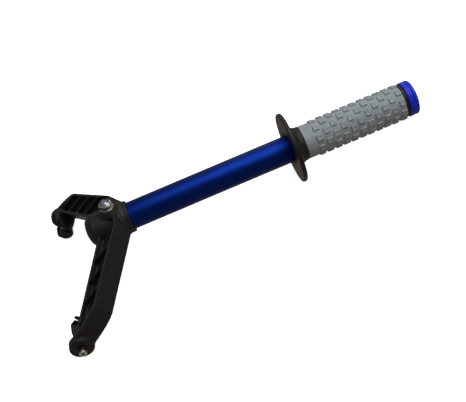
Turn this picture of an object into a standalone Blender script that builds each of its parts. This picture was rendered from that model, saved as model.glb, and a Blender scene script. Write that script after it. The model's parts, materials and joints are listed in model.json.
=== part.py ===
"""Two-hook crank handle: a moulded yoke clamped on a tube, with a free-turning guarded grip.

The handle frame has its origin where the clamp bolt crosses the tube's axis. X runs along the
tube towards the grip, Y runs from hook to hook and Z runs along the clamp bolt towards its nut.
The yoke lies in a plane tilted about Y. In that plane a place is given by its reach, which grows
away from the grip, and its side, which is its distance from the mirror plane. Its height is
measured square to the plane, towards the nut.
"""
import math

import bmesh
import bpy
from mathutils import Matrix, Vector

# All sizes are in metres.
GAP = 0.0003
WELD = 0.00002

TUBE_RADIUS = 0.016
TUBE_BORE = 0.014
TUBE_START = -0.0225
TUBE_END = 0.3585
TUBE_EDGE = 0.0004
TUBE_GROOVE = (0.2174, 0.2190)
TUBE_GROOVE_RADIUS = 0.0152

YOKE_TILT = math.radians(33.4)
HOOK_HEIGHT = 0.00225
YOKE_FRONT = 0.0152
YOKE_BACK = -0.0087
WEB_FRONT = 0.0086
WEB_BACK = 0.0046
FLANGE = 0.003
RIB = 0.002
RIB_FIRST = 0.0425
RIB_PITCH = 0.0186
RIB_COUNT = 4
POCKET_CORNER = 0.0015
ROOT_POCKET_SIDE = (0.012, 0.0255)
LAST_POCKET_REACH = 0.0548
LAST_POCKET_TIP = (0.0755, 0.1045)

# Along both edges of an arm, reach grows in step with side.
INNER_AT_RIB = 0.0353
INNER_SLOPE = 0.735
INNER_END = 0.0985
OUTER_AT_RIB = -0.0006
OUTER_SLOPE = 0.785
BACK_REACH = -0.0152
# (reach, side) places.
ELBOW = ((0.0404, 0.0948), (0.0445, 0.1000), (0.0492, 0.1033), (0.0578, 0.1065), (0.0674, 0.1089))
ARM_TIP = ((0.0782, 0.1107), (0.0860, 0.1135), (0.0860, 0.0885), (0.0825, 0.0905))

SOCKET_RADIUS = 0.0195
COLLAR_RADIUS = 0.0188
COLLAR_START = 0.0125
COLLAR_SLOPE = 0.0015
COLLAR_EDGE = 0.0006
SOCKET_END = 0.0195
# (distance along the tube, radius) places of the socket's domed end.
DOME = ((-0.0335, 0.0), (-0.0330, 0.008), (-0.0313, 0.0136), (-0.0282, 0.0174), (-0.0240, 0.0195))
SEAT_HEIGHT = 0.0230
LOW_SEAT = 0.0215
SEAT_RADIUS = 0.0098
SEAT_FOOT = 0.0208
SEAT_FOOT_RADIUS = 0.0107
SEAT_ROOT = 0.019
SEAT_ROOT_RADIUS = 0.0125

HOOK_REACH = 0.0895
DISC_RADIUS = 0.0136
DISC_SIDE = (0.1056, 0.1155)
DISC_CHAMFER = 0.0015
DISC_EDGE = 0.0004
CORE_REACH = (0.080, 0.0965)
CORE_SIDE = (0.0890, 0.1070)
CORE_HEIGHT = (-0.0075, 0.0040)
CUP_REACH = (0.0805, 0.0977)
CUP_SIDE = (0.0773, 0.0903)
CUP_HEIGHT = (-0.0092, 0.0091)
CUP_CORNER = 0.0042
BELLY_STEPS = 12
ROUNDED_STEPS = 3
CORNER_STEPS = 4
CUP_WALL = 0.0022
CUP_FLOOR = -0.004
CUP_ARCH = 0.0019
CUP_MOUTH_CORNER = 0.0006
PRONG_REACH = (0.0800, 0.0840)
PRONG_HEIGHT = (0.006, 0.0118)
SLOT_REACH = (0.0844, 0.0866)
SLOT_DEPTH = 0.004

BOLT_RADIUS = 0.00395
BOLT_HOLE = 0.0043
BOLT_END = 0.0332
BOLT_POINT = 0.0008
BOLT_HEX = 0.013
BOLT_HEAD = 0.0053
BOLT_CHAMFER = 0.001
BOLT_WASHER = 0.0016
WASHER_EDGE = 0.0002
BOLT_WASHER_RADIUS = 0.008
NUT_HEIGHT = 0.0055
NUT_CHAMFER = 0.0008
NUT_SPIN = math.radians(12)
CROWN_RADIUS = 0.0063
CROWN_HEIGHT = 0.0019
CROWN_EDGE = 0.0007
INSERT_RADIUS = 0.005
INSERT_HEIGHT = 0.0016
SPACER_HALF = 0.0121
SPACER_RADIUS = 0.0065

SCREW_RADIUS = 0.00245
SCREW_HOLE = 0.0028
SCREW_END = 0.0828
SCREW_POINT = 0.0006
SCREW_HEAD = 0.005
SCREW_HEAD_RADIUS = 0.00425
SCREW_KEY = 0.004
SCREW_KEY_DEPTH = 0.0028
SCREW_WASHER_RADIUS = 0.0055
SCREW_WASHER = 0.0011
HOOK_NUT_HEX = 0.008
HOOK_NUT_HEIGHT = 0.0047

RING_X = (0.2176, 0.2188)
RING_RADII = (0.0155, 0.0176)
RING_MOUTH = math.radians(8)
FRONT_WASHER_X = (0.2191, 0.2204)
FRONT_WASHER_RADIUS = 0.0178
REAR_WASHER_X = (0.3575, 0.3585)
REAR_WASHER_RADIUS = 0.0190

GUARD_X = 0.21825
GUARD_RADIUS = 0.0418
GUARD_RIM = 0.0049
GUARD_EDGE = 0.0009
GUARD_EYE = 0.0182
GUARD_EYE_SLOPE = (0.0012, 0.0205, 0.0225)
HUB_STEP = 0.2207
HUB_SEAT = 0.2222
HUB_END = 0.2325
# (distance past the disc's rear face, radius) places of the hub's flare.
HUB_FLARE = ((0.0, 0.031), (0.0012, 0.0265), (0.0035, 0.0228), (0.0070, 0.0206))
HUB_LIP = ((0.2319, 0.0200), (0.2325, 0.0196))
SLEEVE_START = 0.2225
SLEEVE_INNER = 0.0174
SLEEVE_OUTER = 0.0183
BAND_RADIUS = 0.0193
BAND_END = 0.3572
BUSH_STARTS = {"front_bush": 0.2225, "rear_bush": 0.345}
BUSH_LENGTH = 0.012
RUBBER_START = 0.2328
RUBBER_END = 0.3545
RUBBER_RADIUS = 0.0197
KNOB_HEIGHT = 0.0016
COLLAR_BAND = 0.0127

SPIGOT_START = 0.344
SPIGOT_CHAMFER = 0.001
SEAL_X = 0.351
SEAL_GROOVE_HALF = 0.0014
SEAL_FLOOR = 0.0122
SEAL_THICK = 0.0007
SEAL_SIDES = 6
CAP_START = 0.3588
CAP_END = 0.3698
CAP_RADIUS = 0.0205
CAP_EDGE = 0.0006
# (distance past the cap's inner face, radius) places of its shallow groove.
CAP_GROOVE = ((0.0056, 0.0205), (0.0066, 0.0195), (0.0076, 0.0205))
# (distance short of the cap's end, radius) places of its rounded rim and recessed face.
CAP_RIM = ((0.0012, 0.0205), (0.0003, 0.0197), (0.0, 0.0185), (0.0, 0.012), (0.0008, 0.011),
           (0.0008, 0.0))

# Cutters pass their surfaces by OVERRUN.
OVERRUN = 0.002
SHARP_ANGLE = math.radians(32)

WIDE_ROUND = 48
ROUND = 32
SMALL_ROUND = 20

YOKE_TURN = Matrix.Rotation(-YOKE_TILT, 4, "Y")
ALONG_Y = Matrix.Rotation(math.radians(90), 4, "Z")
ALONG_Z = Matrix.Rotation(math.radians(-90), 4, "Y")
# Stands an outline up, so that its height is Z and its prism runs along Y.
ACROSS = Matrix(((1, 0, 0, 0), (0, 0, 1, 0), (0, 1, 0, 0), (0, 0, 0, 1)))


def clear_scene():
    for old in list(bpy.data.objects):
        bpy.data.objects.remove(old, do_unlink=True)


def make_material(name, colour, roughness, metallic=0.0):
    material = bpy.data.materials.new(name)
    material.use_nodes = True
    shader = material.node_tree.nodes["Principled BSDF"]
    shader.inputs["Base Color"].default_value = (*colour, 1.0)
    shader.inputs["Roughness"].default_value = roughness
    shader.inputs["Metallic"].default_value = metallic
    return material


def mesh_from(bm, name):
    bmesh.ops.recalc_face_normals(bm, faces=bm.faces)
    mesh = bpy.data.meshes.new(name)
    bm.to_mesh(mesh)
    bm.free()
    return mesh


def add_object(name, mesh):
    item = bpy.data.objects.new(name, mesh)
    bpy.context.scene.collection.objects.link(item)
    return item


def turned(name, profile, sides=ROUND, turn=None, place=(0, 0, 0)):
    """A closed ring or plug from (distance along X, radius) points, turned about X."""
    bm = bmesh.new()
    rings = []
    for along, radius in profile:
        if radius < 1e-6:
            rings.append([bm.verts.new((along, 0, 0))])
            continue
        ring = []
        for step in range(sides):
            angle = 2 * math.pi * step / sides
            ring.append(bm.verts.new((along, radius * math.cos(angle), radius * math.sin(angle))))
        rings.append(ring)
    for index, ring in enumerate(rings):
        following = rings[(index + 1) % len(rings)]
        if len(ring) == 1 and len(following) == 1:
            continue
        for step in range(sides):
            after = (step + 1) % sides
            if len(ring) == 1:
                bm.faces.new((ring[0], following[after], following[step]))
            elif len(following) == 1:
                bm.faces.new((ring[step], ring[after], following[0]))
            else:
                bm.faces.new((ring[step], ring[after], following[after], following[step]))
    matrix = Matrix.Translation(place) @ (turn or Matrix.Identity(4))
    bmesh.ops.transform(bm, matrix=matrix, verts=bm.verts)
    return add_object(name, mesh_from(bm, name))


def prism(name, outline, low, high, turn=None):
    """The outline's (X, Y) points raised from Z = low to Z = high."""
    bm = bmesh.new()
    base = bm.faces.new([bm.verts.new((x, y, low)) for x, y in outline])
    raised = bmesh.ops.extrude_face_region(bm, geom=[base])
    moved = [item for item in raised["geom"] if isinstance(item, bmesh.types.BMVert)]
    bmesh.ops.translate(bm, verts=moved, vec=(0, 0, high - low))
    if turn:
        bmesh.ops.transform(bm, matrix=turn, verts=bm.verts)
    return add_object(name, mesh_from(bm, name))


def rounded(outline, radius):
    """The outline with each corner replaced by an arc of about the given radius."""
    points = []
    count = len(outline)
    for index, corner in enumerate(outline):
        here = Vector(corner)
        before = Vector(outline[index - 1]) - here
        after = Vector(outline[(index + 1) % count]) - here
        half = before.angle(after) / 2
        reach = min(radius / math.tan(half), 0.45 * before.length, 0.45 * after.length)
        start = here + before.normalized() * reach
        end = here + after.normalized() * reach
        for step in range(ROUNDED_STEPS + 1):
            part = step / ROUNDED_STEPS
            points.append((start.lerp(here, part)).lerp(here.lerp(end, part), part))
    return [(point.x, point.y) for point in points]


def hexagon(across_flats, turn=0.0):
    radius = across_flats / math.sqrt(3)
    corners = [turn + math.radians(60 * step) for step in range(6)]
    return [(radius * math.cos(angle), radius * math.sin(angle)) for angle in corners]


def combine(target, other, operation):
    """Joins or cuts target with other, keeps the result as target's mesh, removes other."""
    step = target.modifiers.new(operation, "BOOLEAN")
    step.operation = operation
    step.solver = "EXACT"
    step.object = other
    graph = bpy.context.evaluated_depsgraph_get()
    result = bpy.data.meshes.new_from_object(target.evaluated_get(graph))
    target.modifiers.remove(step)
    bm = bmesh.new()
    bm.from_mesh(result)
    bmesh.ops.remove_doubles(bm, verts=bm.verts, dist=WELD)
    bmesh.ops.dissolve_degenerate(bm, edges=bm.edges, dist=WELD)
    bm.to_mesh(result)
    bm.free()
    target.data = result
    bpy.data.objects.remove(other, do_unlink=True)


def inner_reach(side):
    return INNER_AT_RIB + INNER_SLOPE * (side - RIB_FIRST)


def outer_reach(side):
    return OUTER_AT_RIB + OUTER_SLOPE * (side - RIB_FIRST)


def on_yoke(outline, sign):
    """Turns (reach, side) points into the (X, Y) of the yoke's own plane, on one arm."""
    return [(-reach, sign * side) for reach, side in outline]


def yoke_outline():
    """Half the V: the ridge, the elbow, the neck, and back along the inner flange."""
    ridge_side = RIB_FIRST + (BACK_REACH - OUTER_AT_RIB) / OUTER_SLOPE
    inner_end = (inner_reach(INNER_END), INNER_END)
    return [(BACK_REACH, ridge_side), *ELBOW, *ARM_TIP, inner_end]


def pocket_outlines():
    """The hollows of one arm, between its ribs."""
    inner_wall = FLANGE * math.hypot(1, INNER_SLOPE)
    outer_wall = FLANGE * math.hypot(1, OUTER_SLOPE)
    hollows = []
    root_end = RIB_FIRST - RIB / 2
    hollows.append([
        (inner_reach(root_end) - inner_wall, root_end),
        (inner_reach(ROOT_POCKET_SIDE[0]) - inner_wall, ROOT_POCKET_SIDE[0]),
        (BACK_REACH + FLANGE, ROOT_POCKET_SIDE[0]),
        (BACK_REACH + FLANGE, ROOT_POCKET_SIDE[1]),
        (outer_reach(root_end) + outer_wall, root_end),
    ])
    for index in range(RIB_COUNT - 1):
        start = RIB_FIRST + index * RIB_PITCH + RIB / 2
        end = start + RIB_PITCH - RIB
        hollows.append([
            (inner_reach(start) - inner_wall, start),
            (outer_reach(start) + outer_wall, start),
            (outer_reach(end) + outer_wall, end),
            (inner_reach(end) - inner_wall, end),
        ])
    last = RIB_FIRST + (RIB_COUNT - 1) * RIB_PITCH + RIB / 2
    hollows.append([
        (LAST_POCKET_REACH, last), LAST_POCKET_TIP, (inner_reach(last) - inner_wall, last),
    ])
    return hollows


def add_yoke_plate():
    half = yoke_outline()
    crotch = [(inner_reach(0.0), 0.0)]
    whole = on_yoke(half, 1) + on_yoke(crotch, 1) + list(reversed(on_yoke(half, -1)))
    plate = prism("yoke_bracket", whole, YOKE_BACK, YOKE_FRONT, YOKE_TURN)
    for sign in (1, -1):
        for hollow in pocket_outlines():
            shape = rounded(on_yoke(hollow, sign), POCKET_CORNER)
            above = prism("cut", shape, WEB_FRONT, YOKE_FRONT + GAP, YOKE_TURN)
            combine(plate, above, "DIFFERENCE")
            below = prism("cut", shape, YOKE_BACK - GAP, WEB_BACK, YOKE_TURN)
            combine(plate, below, "DIFFERENCE")
    return plate


def box_outline(reaches, sides, sign):
    """A rectangle of the yoke's plane, between two reaches and two sides."""
    near, far = reaches
    low, high = sides
    return on_yoke([(near, low), (near, high), (far, high), (far, low)], sign)


def arc(middle, radius, start, end, steps):
    """Places along an arc; the angles are in degrees."""
    points = []
    for step in range(steps + 1):
        angle = math.radians(start + (end - start) * step / steps)
        points.append((middle[0] + radius * math.cos(angle), middle[1] + radius * math.sin(angle)))
    return points


def cup_outline():
    """The cup seen along Y: a round belly below, and small rounds at its two upper corners."""
    near, far = CUP_REACH
    bottom, top = CUP_HEIGHT
    belly = (far - near) / 2
    shoulder = top - CUP_CORNER
    return [
        *arc((-(near + far) / 2, bottom + belly), belly, 180, 360, BELLY_STEPS),
        *arc((-near - CUP_CORNER, shoulder), CUP_CORNER, 0, 90, CORNER_STEPS),
        *arc((-far + CUP_CORNER, shoulder), CUP_CORNER, 90, 180, CORNER_STEPS),
    ]


def add_hook(plate, sign):
    """The disc, the cup and the core between them at the end of one arm."""
    centre = YOKE_TURN @ Vector((-HOOK_REACH, 0, HOOK_HEIGHT))
    turn = ALONG_Y @ Matrix.Scale(sign, 4, (1, 0, 0))
    inner, outer = DISC_SIDE
    disc = [
        (inner, 0), (inner, DISC_RADIUS - DISC_EDGE), (inner + DISC_EDGE, DISC_RADIUS),
        (outer - DISC_CHAMFER, DISC_RADIUS), (outer, DISC_RADIUS - DISC_CHAMFER), (outer, 0),
    ]
    combine(plate, turned("disc", disc, WIDE_ROUND, turn, centre), "UNION")
    core = box_outline(CORE_REACH, CORE_SIDE, sign)
    combine(plate, prism("core", core, *CORE_HEIGHT, YOKE_TURN), "UNION")
    low, high = CUP_SIDE
    near, far = CUP_REACH
    cup = prism("cup", cup_outline(), low, high)
    cup.data.transform(YOKE_TURN @ Matrix.Scale(sign, 4, (0, 1, 0)) @ ACROSS)
    combine(plate, cup, "UNION")
    prong = box_outline(PRONG_REACH, (low + GAP, low + CUP_WALL), sign)
    combine(plate, prism("prong", prong, *PRONG_HEIGHT, YOKE_TURN), "UNION")
    left = low + CUP_WALL
    right = high - CUP_WALL
    start = near + CUP_WALL
    end = far - CUP_WALL
    mouth = rounded(on_yoke([
        (start + CUP_ARCH, left), (start, left + CUP_ARCH), (start, right - CUP_ARCH),
        (start + CUP_ARCH, right), (end, right), (end, left),
    ], sign), CUP_MOUTH_CORNER)
    above = PRONG_HEIGHT[1] + OVERRUN
    combine(plate, prism("mouth", mouth, CUP_FLOOR, above, YOKE_TURN), "DIFFERENCE")
    slot = box_outline(SLOT_REACH, (low - OVERRUN, low + SLOT_DEPTH), sign)
    combine(plate, prism("slot", slot, CUP_FLOOR, above, YOKE_TURN), "DIFFERENCE")
    bore = [(right - OVERRUN, 0), (right - OVERRUN, SCREW_HOLE), (outer + OVERRUN, SCREW_HOLE),
            (outer + OVERRUN, 0)]
    combine(plate, turned("bore", bore, SMALL_ROUND, turn, centre), "DIFFERENCE")


def add_socket(plate):
    """The round socket that takes the tube, its collar, and the two bolt seats."""
    barrel = [
        *DOME, (COLLAR_START, SOCKET_RADIUS), (COLLAR_START + COLLAR_SLOPE, COLLAR_RADIUS),
        (SOCKET_END - COLLAR_EDGE, COLLAR_RADIUS), (SOCKET_END, COLLAR_RADIUS - COLLAR_EDGE),
        (SOCKET_END, 0),
    ]
    combine(plate, turned("barrel", barrel, WIDE_ROUND), "UNION")
    seat = [
        (-LOW_SEAT, 0), (-LOW_SEAT, SEAT_FOOT_RADIUS), (-SEAT_ROOT, SEAT_ROOT_RADIUS),
        (SEAT_ROOT, SEAT_ROOT_RADIUS), (SEAT_FOOT, SEAT_FOOT_RADIUS), (SEAT_HEIGHT, SEAT_RADIUS),
        (SEAT_HEIGHT, 0),
    ]
    combine(plate, turned("seat", seat, ROUND, ALONG_Z), "UNION")
    wide = TUBE_RADIUS + GAP
    bore = [(TUBE_START - GAP, 0), (TUBE_START - GAP, wide), (SOCKET_END + OVERRUN, wide),
            (SOCKET_END + OVERRUN, 0)]
    combine(plate, turned("bore", bore, WIDE_ROUND), "DIFFERENCE")
    drill(plate, SEAT_HEIGHT + OVERRUN)


def drill(target, half):
    """Cuts the clamp bolt's hole, half to each side of the tube's axis."""
    hole = [(-half, 0), (-half, BOLT_HOLE), (half, BOLT_HOLE), (half, 0)]
    combine(target, turned("hole", hole, SMALL_ROUND, ALONG_Z), "DIFFERENCE")


def make_yoke():
    plate = add_yoke_plate()
    add_socket(plate)
    for sign in (1, -1):
        add_hook(plate, sign)
    return plate


def make_tube():
    start, end = TUBE_GROOVE
    profile = [
        (TUBE_START, TUBE_BORE), (TUBE_START, TUBE_RADIUS - TUBE_EDGE),
        (TUBE_START + TUBE_EDGE, TUBE_RADIUS), (start, TUBE_RADIUS), (start, TUBE_GROOVE_RADIUS),
        (end, TUBE_GROOVE_RADIUS), (end, TUBE_RADIUS), (TUBE_END - TUBE_EDGE, TUBE_RADIUS),
        (TUBE_END, TUBE_RADIUS - TUBE_EDGE), (TUBE_END, TUBE_BORE),
    ]
    tube = turned("handle_tube", profile, WIDE_ROUND)
    drill(tube, TUBE_RADIUS + OVERRUN)


def make_washer(name, base, thickness, inner, outer, turn, place=(0, 0, 0)):
    top = base + thickness
    profile = [(base, inner), (base, outer - WASHER_EDGE), (base + WASHER_EDGE, outer),
               (top - WASHER_EDGE, outer), (top, outer - WASHER_EDGE), (top, inner)]
    turned(name, profile, ROUND, turn, place)


def make_hex_body(name, low, height, chamfer, turn, spin=0.0):
    """A hexagon whose corners are cut by a cone at its high end."""
    high = low + height
    body = prism(name, hexagon(BOLT_HEX, spin), low, high)
    corner = BOLT_HEX / math.sqrt(3) + OVERRUN
    flat = BOLT_HEX / 2 - GAP
    cone = [(low - OVERRUN, 0), (low - OVERRUN, corner), (high - chamfer, corner),
            (high, flat), (high + GAP, flat - BOLT_CHAMFER), (high + GAP, 0)]
    combine(body, turned("cone", cone, ROUND, ALONG_Z), "INTERSECT")
    body.data.transform(turn)
    return body


def make_clamp_set():
    """The bolt through the socket, its two washers, its lock nut and its spacer in the tube."""
    up = Matrix.Identity(4)
    down = Matrix.Rotation(math.pi, 4, "Y")
    size = (BOLT_WASHER, BOLT_HOLE, BOLT_WASHER_RADIUS)
    make_washer("nut_washer", SEAT_HEIGHT + GAP, *size, ALONG_Z)
    make_washer("bolt_head_washer", LOW_SEAT + GAP, *size, down @ ALONG_Z)
    washer_top = SEAT_HEIGHT + BOLT_WASHER + 2 * GAP
    head = LOW_SEAT + BOLT_WASHER + 2 * GAP
    bolt = make_hex_body("clamp_bolt", head, BOLT_HEAD, BOLT_CHAMFER, down)
    root = -head - OVERRUN
    shank = [(root, 0), (root, BOLT_RADIUS), (BOLT_END - BOLT_POINT, BOLT_RADIUS),
             (BOLT_END, BOLT_RADIUS - BOLT_POINT), (BOLT_END, 0)]
    combine(bolt, turned("shank", shank, SMALL_ROUND, ALONG_Z), "UNION")
    nut = make_hex_body("lock_nut", washer_top, NUT_HEIGHT, NUT_CHAMFER, up, NUT_SPIN)
    nut_top = washer_top + NUT_HEIGHT
    crown_top = nut_top + CROWN_HEIGHT
    crown = [(nut_top - CROWN_EDGE, 0), (nut_top - CROWN_EDGE, CROWN_RADIUS),
             (crown_top - CROWN_EDGE, CROWN_RADIUS), (crown_top, CROWN_RADIUS - CROWN_EDGE),
             (crown_top, 0)]
    combine(nut, turned("crown", crown, ROUND, ALONG_Z), "UNION")
    recess = INSERT_RADIUS + GAP
    bore = [(washer_top - OVERRUN, 0), (washer_top - OVERRUN, BOLT_HOLE), (nut_top, BOLT_HOLE),
            (nut_top, recess), (crown_top + OVERRUN, recess), (crown_top + OVERRUN, 0)]
    combine(nut, turned("bore", bore, ROUND, ALONG_Z), "DIFFERENCE")
    insert_top = nut_top + INSERT_HEIGHT
    insert = [(nut_top + GAP, BOLT_HOLE), (nut_top + GAP, INSERT_RADIUS),
              (insert_top, INSERT_RADIUS), (insert_top, BOLT_HOLE)]
    turned("lock_nut_insert", insert, ROUND, ALONG_Z)
    spacer = [(-SPACER_HALF, BOLT_HOLE), (-SPACER_HALF, SPACER_RADIUS),
              (SPACER_HALF, SPACER_RADIUS), (SPACER_HALF, BOLT_HOLE)]
    turned("bolt_spacer", spacer, SMALL_ROUND, ALONG_Z)


def make_hook_set(sign, hand):
    """The cap screw on a hook's axis, with its washer outside and its nut in the cup."""
    centre = YOKE_TURN @ Vector((-HOOK_REACH, 0, HOOK_HEIGHT))
    turn = ALONG_Y @ Matrix.Scale(sign, 4, (1, 0, 0))
    quarter = Matrix.Rotation(math.radians(-90 * sign), 4, "X")
    base = DISC_SIDE[1] + GAP
    size = (SCREW_WASHER, SCREW_HOLE, SCREW_WASHER_RADIUS)
    make_washer("hook_washer_" + hand, base, *size, turn, centre)
    head = base + SCREW_WASHER + GAP
    top = head + SCREW_HEAD
    edge = SCREW_POINT
    screw = turned("hook_screw_" + hand, [
        (SCREW_END, 0), (SCREW_END, SCREW_RADIUS - edge), (SCREW_END + edge, SCREW_RADIUS),
        (head, SCREW_RADIUS), (head, SCREW_HEAD_RADIUS), (top - edge, SCREW_HEAD_RADIUS),
        (top, SCREW_HEAD_RADIUS - edge), (top, 0),
    ], SMALL_ROUND, turn, centre)
    key = prism("key", hexagon(SCREW_KEY), top - SCREW_KEY_DEPTH, top + OVERRUN)
    key.data.transform(Matrix.Translation(centre) @ quarter)
    combine(screw, key, "DIFFERENCE")
    nut_high = CUP_SIDE[1] - CUP_WALL - GAP
    nut_low = nut_high - HOOK_NUT_HEIGHT
    points_up = math.radians(30)
    nut = prism("hook_nut_" + hand, hexagon(HOOK_NUT_HEX, points_up), nut_low, nut_high)
    nut.data.transform(Matrix.Translation(centre) @ YOKE_TURN @ quarter)
    bore = [(nut_low - OVERRUN, 0), (nut_low - OVERRUN, SCREW_HOLE),
            (nut_high + OVERRUN, SCREW_HOLE), (nut_high + OVERRUN, 0)]
    combine(nut, turned("bore", bore, SMALL_ROUND, turn, centre), "DIFFERENCE")


def make_guard():
    """The disc and flared hub that part the hand from the tube."""
    front = GUARD_X - GUARD_RIM / 2
    back = GUARD_X + GUARD_RIM / 2
    depth, low, high = GUARD_EYE_SLOPE
    profile = [
        (front + depth, GUARD_EYE), (front + depth, low), (front, high),
        (front, GUARD_RADIUS - GUARD_EDGE), (front + GUARD_EDGE, GUARD_RADIUS),
        (back - GUARD_EDGE, GUARD_RADIUS), (back, GUARD_RADIUS - GUARD_EDGE),
        *[(back + along, radius) for along, radius in HUB_FLARE], *HUB_LIP,
        (HUB_END, SLEEVE_OUTER + GAP), (HUB_SEAT, SLEEVE_OUTER + GAP),
        (HUB_SEAT, TUBE_RADIUS + GAP), (HUB_STEP, TUBE_RADIUS + GAP), (HUB_STEP, GUARD_EYE),
    ]
    flat_down = Matrix.Rotation(math.pi / WIDE_ROUND, 4, "X")
    turned("hand_guard", profile, WIDE_ROUND, flat_down)


def sleeve_profile(start, end, inner, outer):
    return [(start, inner), (start, outer), (end, outer), (end, inner)]


def make_retainers():
    """The snap ring that keeps the grip from the yoke, and the washers at the grip's ends."""
    inner, outer = RING_RADII
    outline = []
    for radius, order in ((outer, range(ROUND + 1)), (inner, range(ROUND, -1, -1))):
        for step in order:
            angle = RING_MOUTH + (2 * math.pi - 2 * RING_MOUTH) * step / ROUND
            outline.append((radius * math.cos(angle), radius * math.sin(angle)))
    ring = prism("retaining_ring", outline, *RING_X)
    ring.data.transform(Matrix.Rotation(math.radians(90), 4, "Y"))
    inside = TUBE_RADIUS + GAP
    front = sleeve_profile(*FRONT_WASHER_X, inside, FRONT_WASHER_RADIUS)
    turned("front_thrust_washer", front)
    rear = sleeve_profile(*REAR_WASHER_X, inside, REAR_WASHER_RADIUS)
    turned("rear_thrust_washer", rear)


def make_grip():
    """The sleeve, its two bushes and the rubber, whose plain shape encloses its raised blocks."""
    flange = RUBBER_END + GAP
    sleeve = [
        (SLEEVE_START, SLEEVE_INNER), (SLEEVE_START, SLEEVE_OUTER), (flange, SLEEVE_OUTER),
        (flange, BAND_RADIUS), (BAND_END, BAND_RADIUS), (BAND_END, SLEEVE_INNER),
    ]
    turned("grip_sleeve", sleeve)
    for name, start in BUSH_STARTS.items():
        bush = sleeve_profile(start, start + BUSH_LENGTH, TUBE_RADIUS + GAP, SLEEVE_INNER - GAP)
        turned(name, bush)
    inside = SLEEVE_OUTER + GAP
    knobs = RUBBER_RADIUS + KNOB_HEIGHT
    knobs_start = RUBBER_START + COLLAR_BAND
    rubber = [
        (RUBBER_START, inside), (RUBBER_START, RUBBER_RADIUS), (knobs_start, RUBBER_RADIUS),
        (knobs_start + KNOB_HEIGHT, knobs), (RUBBER_END - KNOB_HEIGHT, knobs),
        (RUBBER_END, RUBBER_RADIUS), (RUBBER_END, inside),
    ]
    turned("grip_rubber", rubber, WIDE_ROUND)


def make_end_cap():
    """The cap pressed into the tube's end, and the seal ring round its spigot."""
    spigot = TUBE_BORE - GAP
    low = SEAL_X - SEAL_GROOVE_HALF
    high = SEAL_X + SEAL_GROOVE_HALF
    profile = [
        (SPIGOT_START, 0), (SPIGOT_START, spigot - SPIGOT_CHAMFER),
        (SPIGOT_START + SPIGOT_CHAMFER, spigot), (low, spigot), (low, SEAL_FLOOR),
        (high, SEAL_FLOOR), (high, spigot), (CAP_START, spigot),
        (CAP_START, CAP_RADIUS - CAP_EDGE), (CAP_START + CAP_EDGE, CAP_RADIUS),
        *[(CAP_START + along, radius) for along, radius in CAP_GROOVE],
        *[(CAP_END - short, radius) for short, radius in CAP_RIM],
    ]
    turned("end_cap", profile, WIDE_ROUND)
    middle = (SEAL_FLOOR + TUBE_BORE) / 2
    section = []
    for step in range(SEAL_SIDES):
        angle = 2 * math.pi * step / SEAL_SIDES
        along = SEAL_X + SEAL_THICK * math.cos(angle)
        section.append((along, middle + SEAL_THICK * math.sin(angle)))
    turned("cap_seal_ring", section)


MATERIALS = {
    "black_nylon": ((0.016, 0.015, 0.016), 0.5, 0.0),
    "blue_anodised": ((0.004, 0.02, 0.22), 0.25, 0.9),
    "grey_rubber": ((0.22, 0.25, 0.26), 0.8, 0.0),
    "blue_plastic": ((0.02, 0.03, 0.62), 0.35, 0.0),
    "stainless": ((0.62, 0.61, 0.59), 0.25, 1.0),
    "insert_blue": ((0.05, 0.05, 0.45), 0.4, 0.0),
    "white_acetal": ((0.75, 0.74, 0.70), 0.4, 0.0),
    "black_rubber": ((0.01, 0.01, 0.01), 0.7, 0.0),
    "black_steel": ((0.03, 0.03, 0.03), 0.45, 1.0),
}
FINISH = {
    "handle_tube": "blue_anodised", "grip_rubber": "grey_rubber", "end_cap": "blue_plastic",
    "lock_nut_insert": "insert_blue", "front_bush": "white_acetal", "rear_bush": "white_acetal",
    "cap_seal_ring": "black_rubber", "yoke_bracket": "black_nylon", "hand_guard": "black_nylon",
    "grip_sleeve": "black_nylon", "front_thrust_washer": "black_nylon",
    "rear_thrust_washer": "black_nylon", "hook_washer_left": "black_nylon",
    "hook_washer_right": "black_nylon", "retaining_ring": "black_steel",
}


def rest_frame():
    """The tilt and lift that lay the hook discs and the guard's rim on the ground."""
    hook = YOKE_TURN @ Vector((-HOOK_REACH, 0, HOOK_HEIGHT))
    run = GUARD_X + GUARD_RIM / 2 - GUARD_EDGE - hook.x
    rise = -GUARD_RADIUS * math.cos(math.pi / WIDE_ROUND) - hook.z
    tilt = math.asin(DISC_RADIUS / math.hypot(run, rise)) + math.atan2(rise, run)
    frame = bpy.data.objects.new("handle_frame", None)
    bpy.context.scene.collection.objects.link(frame)
    frame.rotation_euler = (0, tilt, 0)
    return frame


def finish_objects(frame):
    """Gives each piece its material and shading, and puts it in the frame."""
    materials = {}
    for name, (colour, roughness, metallic) in MATERIALS.items():
        materials[name] = make_material(name, colour, roughness, metallic)
    for item in [item for item in bpy.data.objects if item.type == "MESH"]:
        item.data.materials.clear()
        item.data.materials.append(materials[FINISH.get(item.name, "stainless")])
        item.data.shade_smooth()
        item.data.set_sharp_from_angle(angle=SHARP_ANGLE)
        item.parent = frame


def settle(frame):
    """Centres the whole over the origin, with its lowest point on the ground."""
    bpy.context.view_layer.update()
    corners = []
    for item in bpy.data.objects:
        if item.type == "MESH":
            corners += [item.matrix_world @ vertex.co for vertex in item.data.vertices]
    low = [min(corner[axis] for corner in corners) for axis in range(3)]
    high = [max(corner[axis] for corner in corners) for axis in range(3)]
    frame.location = (-(low[0] + high[0]) / 2, -(low[1] + high[1]) / 2, -low[2])
    bpy.context.view_layer.update()


def main():
    clear_scene()
    make_yoke()
    make_tube()
    make_clamp_set()
    for sign, hand in ((1, "left"), (-1, "right")):
        make_hook_set(sign, hand)
    make_guard()
    make_retainers()
    make_grip()
    make_end_cap()
    frame = rest_frame()
    finish_objects(frame)
    settle(frame)


main()
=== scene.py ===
import json
import math

import bmesh
import bpy
from mathutils import Euler, Matrix, Vector

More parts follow.
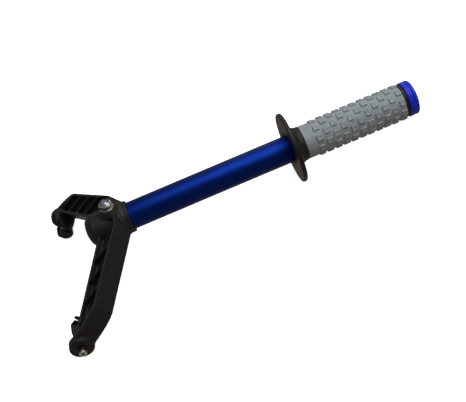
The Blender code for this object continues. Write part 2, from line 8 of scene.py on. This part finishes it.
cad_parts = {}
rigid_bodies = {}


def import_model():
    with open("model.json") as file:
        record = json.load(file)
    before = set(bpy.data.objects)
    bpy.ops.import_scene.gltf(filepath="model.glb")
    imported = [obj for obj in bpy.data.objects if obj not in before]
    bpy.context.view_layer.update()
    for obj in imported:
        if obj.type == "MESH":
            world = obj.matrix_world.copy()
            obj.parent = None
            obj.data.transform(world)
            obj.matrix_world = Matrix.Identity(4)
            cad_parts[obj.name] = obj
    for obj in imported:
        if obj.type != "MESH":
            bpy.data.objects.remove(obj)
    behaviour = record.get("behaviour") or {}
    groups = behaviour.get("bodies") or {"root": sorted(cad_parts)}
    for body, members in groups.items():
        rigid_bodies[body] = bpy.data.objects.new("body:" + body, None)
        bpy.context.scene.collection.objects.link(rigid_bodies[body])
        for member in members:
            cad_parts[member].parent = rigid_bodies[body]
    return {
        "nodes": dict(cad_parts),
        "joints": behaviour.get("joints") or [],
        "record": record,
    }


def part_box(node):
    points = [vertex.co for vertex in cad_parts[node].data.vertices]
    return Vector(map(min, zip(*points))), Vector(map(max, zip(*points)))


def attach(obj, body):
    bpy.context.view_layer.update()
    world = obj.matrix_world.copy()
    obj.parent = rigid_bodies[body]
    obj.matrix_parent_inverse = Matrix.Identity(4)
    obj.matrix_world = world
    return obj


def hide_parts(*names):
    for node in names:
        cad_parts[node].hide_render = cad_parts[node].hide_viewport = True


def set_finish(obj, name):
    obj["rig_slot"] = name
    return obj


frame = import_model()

WELD = 0.00001
SHARP_ANGLE = math.radians(35)
STRAIGHT_ANGLE = math.radians(1)
FLAT_ANGLE = math.radians(0.5)

CAMERA_PLACE = (0.10932, -0.61866, 0.50616)
CAMERA_TURN = (46.519, 15.962, -16.871)
CAMERA_LENS = 54.08

FLOOR_SIZE = 8
FLOOR_HEIGHT = -0.0002
FLOOR_COLOUR = (0.9, 0.9, 0.9)
FLOOR_GLOW = 0.85
ROOM_BELOW = (0.40, 0.34, 0.28)
ROOM_ABOVE = (0.20, 0.23, 0.27)
ROOM_FADE = (-0.4, 0.8)
LAMP_COLOUR = (0.93, 0.98, 1.0)

YOKE_VOXEL = 0.0006
YOKE_PASSES = 6
TURNED_SIDES = 144
GUARD_FACETS = 48
FILLET_STEPS = 4
FILLET_SHARE = 0.4
GUARD_FILLET = 0.0012
CAP_FILLET = 0.0006
TUBE_FILLET = 0.0004
THIN_FILLET = 0.0003
SMALL_FILLET = 0.0002
BEVEL_STEPS = 3
BEVEL_ANGLE = math.radians(28)

KNOB_RINGS = 11
KNOB_COUNT = 10
KNOB_FIRST = 0.2495
KNOB_PITCH = 0.01014
KNOB_PHASE = 2.7
KNOB_TWIST = 21.6
KNOB_HEIGHT = 0.0016
KNOB_BASE_HALF = 0.0036
KNOB_TOP_HALF = 0.0030
KNOB_BASE_ANGLE = 10.8
KNOB_TOP_ANGLE = 8.9
DISH_DEPTH = 0.0004
DISH_EDGE_HALF = 0.0021
DISH_FLOOR_HALF = 0.0012
DISH_EDGE_ANGLE = 5.6
DISH_FLOOR_ANGLE = 3.6
RUBBER_EDGE = 0.0006
CELLS_PER_BLOCK = 5


def handle_matrix():
    """The handle frame's place in the row frame, from the grip's joint."""
    joint = frame["joints"][0]
    along = Vector(joint["axis"]).normalized()
    across = Vector((0, 1, 0))
    up = along.cross(across)
    turn = Matrix((along, across, up)).transposed().to_4x4()
    return Matrix.Translation(joint["pos_m"]) @ turn


HANDLE = handle_matrix()


def add_piece(name, mesh, body, node, slot):
    """Puts a finished mesh in the scene, riding on a body in place of a CAD node."""
    piece = bpy.data.objects.new(name, mesh)
    bpy.context.scene.collection.objects.link(piece)
    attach(piece, body)
    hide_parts(node)
    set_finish(piece, slot)
    return piece


# ---------------------------------------------------------------- turned pieces

def node_mesh(node, place):
    """A welded copy of a CAD node's mesh, in the frame given by place."""
    bm = bmesh.new()
    bm.from_mesh(frame["nodes"][node].data)
    bmesh.ops.transform(bm, matrix=place.inverted(), verts=bm.verts)
    bmesh.ops.remove_doubles(bm, verts=bm.verts, dist=WELD)
    return bm


def turned_outline(node, place):
    """The (along, radius) outline of a CAD node turned about the X of place, read from its mesh.

    The section is the half plane where Z is 0 and Y is positive. A closed section is a ring; an
    open one is a plug, and gets its two points on the axis.
    """
    bm = node_mesh(node, place)
    whole = bm.verts[:] + bm.edges[:] + bm.faces[:]
    bmesh.ops.bisect_plane(bm, geom=whole, dist=WELD / 10, plane_co=(0, 0, 0), plane_no=(0, 0, 1))

    def on_section(vert):
        return abs(vert.co.z) < WELD and vert.co.y > WELD

    links = {}
    for edge in bm.edges:
        one, other = edge.verts
        if on_section(one) and on_section(other):
            links.setdefault(one, []).append(other)
            links.setdefault(other, []).append(one)
    ends = [vert for vert, others in links.items() if len(others) == 1]
    outline = [ends[0] if ends else max(links, key=lambda vert: vert.co.y)]
    while True:
        fresh = [vert for vert in links[outline[-1]] if vert not in outline[-2:]]
        if not fresh or fresh[0] is outline[0]:
            break
        outline.append(fresh[0])
    points = [(vert.co.x, vert.co.y) for vert in outline]
    if ends:
        points = [(points[0][0], 0.0), *points, (points[-1][0], 0.0)]
    bm.free()
    return points


def corners_only(points):
    """The outline without the points that lie on straight runs."""
    kept = []
    for index, point in enumerate(points):
        before = Vector(point) - Vector(points[index - 1])
        after = Vector(points[(index + 1) % len(points)]) - Vector(point)
        if before.angle(after) > STRAIGHT_ANGLE:
            kept.append(point)
    return kept


def filleted(points, radius):
    """The outline with its corners rounded, and each round given in FILLET_STEPS steps."""
    result = []
    for index, point in enumerate(points):
        here = Vector(point)
        before = Vector(points[index - 1]) - here
        after = Vector(points[(index + 1) % len(points)]) - here
        if point[1] < WELD:
            result.append(point)
            continue
        reach = min(radius, FILLET_SHARE * before.length, FILLET_SHARE * after.length)
        start = here + before.normalized() * reach
        end = here + after.normalized() * reach
        for step in range(FILLET_STEPS + 1):
            part = step / FILLET_STEPS
            result.append(start.lerp(here, part).lerp(here.lerp(end, part), part).to_tuple())
    return result


def lathe(name, points, place, sides=TURNED_SIDES):
    """The closed (along, radius) outline turned about the X of place."""
    bm = bmesh.new()
    rings = []
    for along, radius in points:
        if radius < WELD:
            rings.append([bm.verts.new((along, 0, 0))] * sides)
            continue
        angles = [2 * math.pi * step / sides for step in range(sides)]
        rings.append([bm.verts.new((along, radius * math.cos(angle), radius * math.sin(angle)))
                      for angle in angles])
    for ring, following in zip(rings, rings[1:] + rings[:1]):
        for step in range(sides):
            after = (step + 1) % sides
            corners = (ring[step], ring[after], following[after], following[step])
            different = list(dict.fromkeys(corners))
            if len(different) > 2:
                bm.faces.new(different)
    return finished(name, bm, place)


def finished(name, bm, place):
    """The mesh in the row frame, faces out and smooth but for its sharp edges."""
    bmesh.ops.recalc_face_normals(bm, faces=bm.faces)
    bmesh.ops.transform(bm, matrix=place, verts=bm.verts)
    mesh = bpy.data.meshes.new(name)
    bm.to_mesh(mesh)
    bm.free()
    mesh.shade_smooth()
    mesh.set_sharp_from_angle(angle=SHARP_ANGLE)
    return mesh


def turn_again(node, body, slot, fillet, place=HANDLE):
    """A finely turned, filleted piece in place of a turned CAD node."""
    outline = filleted(corners_only(turned_outline(node, place)), fillet)
    return add_piece(node + "_turned", lathe(node, outline, place), body, node, slot)


# ---------------------------------------------------------------- moulded yoke and fasteners

def applied(name, source, modifiers):
    """A mesh copy of source with the modifiers, given as (type, settings), applied."""
    item = bpy.data.objects.new(name, source)
    bpy.context.scene.collection.objects.link(item)
    for kind, settings in modifiers:
        modifier = item.modifiers.new(kind, kind)
        for key, value in settings.items():
            setattr(modifier, key, value)
    graph = bpy.context.evaluated_depsgraph_get()
    mesh = bpy.data.meshes.new_from_object(item.evaluated_get(graph))
    mesh.name = name
    bpy.data.objects.remove(item, do_unlink=True)
    return mesh


def welded_mesh(node):
    """A CAD node's mesh, welded and with its flat faces merged."""
    bm = node_mesh(node, Matrix.Identity(4))
    bmesh.ops.dissolve_limit(bm, angle_limit=FLAT_ANGLE, verts=bm.verts, edges=bm.edges)
    mesh = bpy.data.meshes.new(node + "_welded")
    bm.to_mesh(mesh)
    bm.free()
    return mesh


def mould_yoke():
    """The yoke with the soft edges and fillets of a moulding."""
    voxel = YOKE_VOXEL * 1
    mesh = applied("yoke_moulded", welded_mesh("yoke_bracket"), [
        ("REMESH", {"mode": "VOXEL", "voxel_size": voxel, "adaptivity": 0.0}),
        ("SMOOTH", {"factor": 0.5, "iterations": YOKE_PASSES}),
    ])
    mesh.shade_smooth()
    return add_piece("yoke_moulded", mesh, "root", "yoke_bracket", "black_nylon")


def ease_edges(node, width, slot):
    """A fastener with its edges eased by a small bevel."""
    mesh = applied(node + "_eased", welded_mesh(node), [
        ("BEVEL", {"width": width, "segments": BEVEL_STEPS, "limit_method": "ANGLE",
                   "angle_limit": BEVEL_ANGLE, "use_clamp_overlap": True}),
    ])
    mesh.shade_smooth()
    mesh.set_sharp_from_angle(angle=SHARP_ANGLE)
    return add_piece(node + "_eased", mesh, "root", node, slot)


# ---------------------------------------------------------------- the grip's blocks

def eased(value):
    """A smooth step from 0 to 1."""
    value = min(max(value, 0.0), 1.0)
    return value * value * (3 - 2 * value)


def plateau(away, top, base):
    """1 within top of the middle, 0 beyond base, and a smooth slope between."""
    return eased((base - abs(away)) / (base - top))


def block_height(along, angle):
    """How far the rubber stands above its base at a place on the grip."""
    ring = min(max(round((along - KNOB_FIRST) / KNOB_PITCH), 0), KNOB_RINGS - 1)
    across = along - KNOB_FIRST - ring * KNOB_PITCH
    spacing = 360 / KNOB_COUNT
    turn = (angle - KNOB_PHASE - ring * KNOB_TWIST + spacing / 2) % spacing - spacing / 2
    block = (plateau(across, KNOB_TOP_HALF, KNOB_BASE_HALF)
             * plateau(turn, KNOB_TOP_ANGLE, KNOB_BASE_ANGLE))
    dish = (plateau(across, DISH_FLOOR_HALF, DISH_EDGE_HALF)
            * plateau(turn, DISH_FLOOR_ANGLE, DISH_EDGE_ANGLE))
    return KNOB_HEIGHT * block - DISH_DEPTH * dish


def spread(low, high, steps):
    """Even places from low to just short of high."""
    return [low + (high - low) * step / steps for step in range(steps)]


def mirrored_stations(halves, gap, steps):
    """Places from -gap to just short of gap, close together on each slope."""
    edges = sorted([-gap, *[-half for half in halves], *halves, gap])
    places = []
    for low, high in zip(edges, edges[1:]):
        places += spread(low, high, steps)
    return places


def make_grip():
    """The rubber with its rings of dished blocks."""
    outline = corners_only(turned_outline("grip_rubber", HANDLE))
    start = min(along for along, radius in outline)
    end = max(along for along, radius in outline)
    inner = min(radius for along, radius in outline)
    base = max(radius for along, radius in outline) - KNOB_HEIGHT
    halves = (DISH_FLOOR_HALF, DISH_EDGE_HALF, KNOB_TOP_HALF, KNOB_BASE_HALF)
    ring_places = mirrored_stations(halves, KNOB_PITCH / 2, 3)
    alongs = []
    for ring in range(KNOB_RINGS):
        alongs += [KNOB_FIRST + ring * KNOB_PITCH + place for place in ring_places]
    first = start + RUBBER_EDGE
    last = end - RUBBER_EDGE
    alongs = [along for along in spread(first, alongs[0], 6) + alongs if along < last] + [last]
    fine = 360 / KNOB_COUNT / CELLS_PER_BLOCK
    cell = sorted({0.0, fine / 2, KNOB_TOP_ANGLE % fine, -KNOB_TOP_ANGLE % fine})
    angles = []
    for index in range(CELLS_PER_BLOCK * KNOB_COUNT):
        for low, high in zip(cell, cell[1:] + [fine]):
            angles += [KNOB_PHASE + index * fine + value for value in spread(low, high, 2)]
    rows = [(start, inner, False), (start, base - RUBBER_EDGE, False)]
    rows += [(along, base, True) for along in alongs]
    rows += [(end, base - RUBBER_EDGE, False), (end, inner, False)]
    bm = bmesh.new()
    rings = []
    for along, radius, blocked in rows:
        ring = []
        for angle in angles:
            reach = radius + (block_height(along, angle) if blocked else 0.0)
            turn = math.radians(angle)
            ring.append(bm.verts.new((along, reach * math.cos(turn), reach * math.sin(turn))))
        rings.append(ring)
    for ring, following in zip(rings, rings[1:] + rings[:1]):
        for step in range(len(angles)):
            after = (step + 1) % len(angles)
            bm.faces.new((ring[step], ring[after], following[after], following[step]))
    return add_piece("grip_blocks", finished("grip_blocks", bm, HANDLE), "grip", "grip_rubber",
                     "grey_rubber")


# ---------------------------------------------------------------- materials

def shader_material(name, colour, roughness, metallic=0.0, specular=0.5):
    """A Principled material, its shader and its node tree."""
    material = bpy.data.materials.new(name)
    material.use_nodes = True
    shader = material.node_tree.nodes["Principled BSDF"]
    shader.inputs["Base Color"].default_value = (*colour, 1.0)
    shader.inputs["Roughness"].default_value = roughness
    shader.inputs["Metallic"].default_value = metallic
    shader.inputs["Specular IOR Level"].default_value = specular
    return material, shader


def noise(material, scale, detail=3.0, stretch=(1, 1, 1)):
    """Noise in the piece's own space; scale is in features for each metre."""
    nodes = material.node_tree.nodes
    links = material.node_tree.links
    place = nodes.new("ShaderNodeTexCoord")
    mapping = nodes.new("ShaderNodeMapping")
    mapping.inputs["Scale"].default_value = stretch
    texture = nodes.new("ShaderNodeTexNoise")
    texture.inputs["Scale"].default_value = scale
    texture.inputs["Detail"].default_value = detail
    links.new(place.outputs["Object"], mapping.inputs["Vector"])
    links.new(mapping.outputs["Vector"], texture.inputs["Vector"])
    return texture.outputs["Fac"]


def vary(material, shader, socket, source, low, high):
    """Lets noise move a socket between two values, or two colours."""
    nodes = material.node_tree.nodes
    ramp = nodes.new("ShaderNodeValToRGB")
    ramp.color_ramp.elements[0].position = 0.3
    ramp.color_ramp.elements[1].position = 0.7
    as_colour = [value if isinstance(value, tuple) else (value, value, value)
                 for value in (low, high)]
    ramp.color_ramp.elements[0].color = (*as_colour[0], 1.0)
    ramp.color_ramp.elements[1].color = (*as_colour[1], 1.0)
    material.node_tree.links.new(source, ramp.inputs["Fac"])
    material.node_tree.links.new(ramp.outputs["Color"], shader.inputs[socket])


def roughen(material, shader, source, depth, strength):
    """Bump of the given depth in metres."""
    bump = material.node_tree.nodes.new("ShaderNodeBump")
    bump.inputs["Distance"].default_value = depth
    bump.inputs["Strength"].default_value = strength
    material.node_tree.links.new(source, bump.inputs["Height"])
    material.node_tree.links.new(bump.outputs["Normal"], shader.inputs["Normal"])


def black_nylon():
    material, shader = shader_material("glass_filled_nylon", (0.0075, 0.006, 0.006), 0.5, 0.0, 0.22)
    vary(material, shader, "Base Color", noise(material, 90), (0.0062, 0.0049, 0.0048),
         (0.0092, 0.0075, 0.0074))
    vary(material, shader, "Roughness", noise(material, 260), 0.42, 0.56)
    roughen(material, shader, noise(material, 1800, 4.0), 0.00012, 0.35)
    return material


def blue_anodised():
    material, shader = shader_material("blue_anodised", (0.0029, 0.016, 0.135), 0.42, 1.0)
    vary(material, shader, "Base Color", noise(material, 40), (0.0027, 0.015, 0.128),
         (0.0032, 0.017, 0.143))
    vary(material, shader, "Roughness", noise(material, 300, 4.0, (0.08, 1, 1)), 0.39, 0.46)
    roughen(material, shader, noise(material, 2400, 3.0, (0.03, 1, 1)), 0.00003, 0.25)
    return material


def grey_rubber():
    material, shader = shader_material("grey_rubber", (0.22, 0.235, 0.24), 0.75)
    vary(material, shader, "Base Color", noise(material, 120), (0.19, 0.205, 0.212),
         (0.245, 0.262, 0.270))
    vary(material, shader, "Roughness", noise(material, 500), 0.68, 0.82)
    roughen(material, shader, noise(material, 2200, 4.0), 0.0001, 0.4)
    return material


def blue_plastic():
    material, shader = shader_material("blue_plastic", (0.0085, 0.018, 0.42), 0.36, 0.0, 0.18)
    vary(material, shader, "Base Color", noise(material, 70), (0.0072, 0.016, 0.40),
         (0.0098, 0.020, 0.44))
    vary(material, shader, "Roughness", noise(material, 400), 0.3, 0.4)
    roughen(material, shader, noise(material, 2000, 3.0), 0.00005, 0.25)
    return material


def stainless():
    material, shader = shader_material("stainless", (0.47, 0.46, 0.44), 0.22, 1.0)
    vary(material, shader, "Base Color", noise(material, 300), (0.42, 0.41, 0.39),
         (0.52, 0.51, 0.49))
    vary(material, shader, "Roughness", noise(material, 900, 4.0), 0.16, 0.30)
    roughen(material, shader, noise(material, 3000, 3.0), 0.00003, 0.3)
    return material


def insert_blue():
    material, shader = shader_material("insert_blue", (0.012, 0.013, 0.12), 0.4)
    vary(material, shader, "Roughness", noise(material, 800), 0.34, 0.46)
    return material


def white_acetal():
    material, shader = shader_material("white_acetal", (0.75, 0.74, 0.70), 0.4)
    vary(material, shader, "Roughness", noise(material, 500), 0.34, 0.46)
    return material


def black_rubber():
    material, shader = shader_material("black_rubber", (0.012, 0.012, 0.012), 0.7)
    vary(material, shader, "Roughness", noise(material, 500), 0.62, 0.78)
    return material


def black_steel():
    material, shader = shader_material("black_steel", (0.02, 0.019, 0.018), 0.48, 1.0)
    vary(material, shader, "Roughness", noise(material, 700), 0.42, 0.54)
    return material


def paint_everything():
    """Gives each slot's material to its CAD nodes and to the pieces that stand for them."""
    makers = {
        "black_nylon": black_nylon, "blue_anodised": blue_anodised, "grey_rubber": grey_rubber,
        "blue_plastic": blue_plastic, "stainless": stainless, "insert_blue": insert_blue,
        "white_acetal": white_acetal, "black_rubber": black_rubber, "black_steel": black_steel,
    }
    materials = {name: maker() for name, maker in makers.items()}
    for part in frame["record"]["subparts"]:
        frame["nodes"][part["node"]].data.materials.clear()
        frame["nodes"][part["node"]].data.materials.append(materials[part["material_slot"]])
    for piece in bpy.data.objects:
        if "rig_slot" in piece:
            piece.data.materials.clear()
            piece.data.materials.append(materials[piece["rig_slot"]])


# ---------------------------------------------------------------- floor, lights and camera

def add_floor():
    """A pale floor that lights nothing from below, like a sweep lit on its own."""
    bpy.ops.mesh.primitive_plane_add(size=FLOOR_SIZE)
    floor = bpy.context.object
    floor.name = "floor"
    floor.location.z = FLOOR_HEIGHT
    floor.visible_diffuse = False
    floor.visible_glossy = False
    material, shader = shader_material("pale_floor", FLOOR_COLOUR, 0.9)
    shader.inputs["Emission Color"].default_value = (1.0, 1.0, 1.0, 1.0)
    shader.inputs["Emission Strength"].default_value = FLOOR_GLOW
    floor.data.materials.append(material)


def add_light(name, place, size, power):
    """A square area light that faces the middle of the object."""
    light = bpy.data.lights.new(name, "AREA")
    light.size = size
    light.energy = power
    light.color = LAMP_COLOUR
    lamp = bpy.data.objects.new(name, light)
    bpy.context.scene.collection.objects.link(lamp)
    lamp.location = place
    lamp.rotation_euler = (-Vector(place)).to_track_quat("-Z", "Y").to_euler()


def add_world():
    """A dim room, cool above and warm below."""
    world = bpy.data.worlds.new("studio")
    world.use_nodes = True
    nodes = world.node_tree.nodes
    links = world.node_tree.links
    direction = nodes.new("ShaderNodeTexCoord")
    parts = nodes.new("ShaderNodeSeparateXYZ")
    ramp = nodes.new("ShaderNodeMapRange")
    ramp.inputs["From Min"].default_value = ROOM_FADE[0]
    ramp.inputs["From Max"].default_value = ROOM_FADE[1]
    blend = nodes.new("ShaderNodeMix")
    blend.data_type = "RGBA"
    blend.inputs["A"].default_value = (*ROOM_BELOW, 1.0)
    blend.inputs["B"].default_value = (*ROOM_ABOVE, 1.0)
    links.new(direction.outputs["Generated"], parts.inputs["Vector"])
    links.new(parts.outputs["Z"], ramp.inputs["Value"])
    links.new(ramp.outputs["Result"], blend.inputs["Factor"])
    links.new(blend.outputs["Result"], nodes["Background"].inputs["Color"])
    bpy.context.scene.world = world


def add_lights():
    """A broad lamp overhead, a weaker one behind, and plain colour management."""
    add_light("overhead", (0.45, -0.08, 1.12), 1.2, 16)
    add_light("back", (0.5, 1.3, 0.9), 0.9, 2.5)
    bpy.context.scene.view_settings.view_transform = "Standard"


def add_camera():
    """The camera, placed in the handle frame."""
    camera = bpy.data.objects.new("camera", bpy.data.cameras.new("camera"))
    bpy.context.scene.collection.objects.link(camera)
    camera.data.lens = CAMERA_LENS
    turn = Euler([math.radians(angle) for angle in CAMERA_TURN]).to_matrix().to_4x4()
    camera.matrix_world = HANDLE @ Matrix.Translation(CAMERA_PLACE) @ turn
    bpy.context.scene.camera = camera


# ---------------------------------------------------------------- the whole scene

def hook_place(node):
    """A frame on a hook's axis, its X along the handle's Y."""
    low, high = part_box(node)
    middle = (low + high) / 2
    turn = HANDLE.to_3x3().to_4x4() @ Matrix.Rotation(math.radians(90), 4, "Z")
    return Matrix.Translation((middle.x, 0, middle.z)) @ turn


def main():
    """Builds the scene."""
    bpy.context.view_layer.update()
    mould_yoke()
    make_grip()
    half_facet = Matrix.Rotation(math.pi / GUARD_FACETS, 4, "X")
    along_bolt = HANDLE @ Matrix.Rotation(math.radians(-90), 4, "Y")
    turn_again("hand_guard", "grip", "black_nylon", GUARD_FILLET, HANDLE @ half_facet)
    turn_again("grip_sleeve", "grip", "black_nylon", THIN_FILLET)
    turn_again("end_cap", "root", "blue_plastic", CAP_FILLET)
    turn_again("handle_tube", "root", "blue_anodised", TUBE_FILLET)
    turn_again("nut_washer", "root", "stainless", THIN_FILLET, along_bolt)
    turn_again("bolt_head_washer", "root", "stainless", THIN_FILLET, along_bolt)
    turn_again("lock_nut_insert", "root", "insert_blue", SMALL_FILLET, along_bolt)
    for node in ("hook_washer_left", "hook_washer_right"):
        turn_again(node, "root", "black_nylon", SMALL_FILLET, hook_place(node))
    for node in ("lock_nut", "clamp_bolt", "hook_nut_left", "hook_nut_right",
                 "hook_screw_left", "hook_screw_right"):
        ease_edges(node, SMALL_FILLET, "stainless")
    paint_everything()
    add_floor()
    add_world()
    add_lights()
    add_camera()


main()
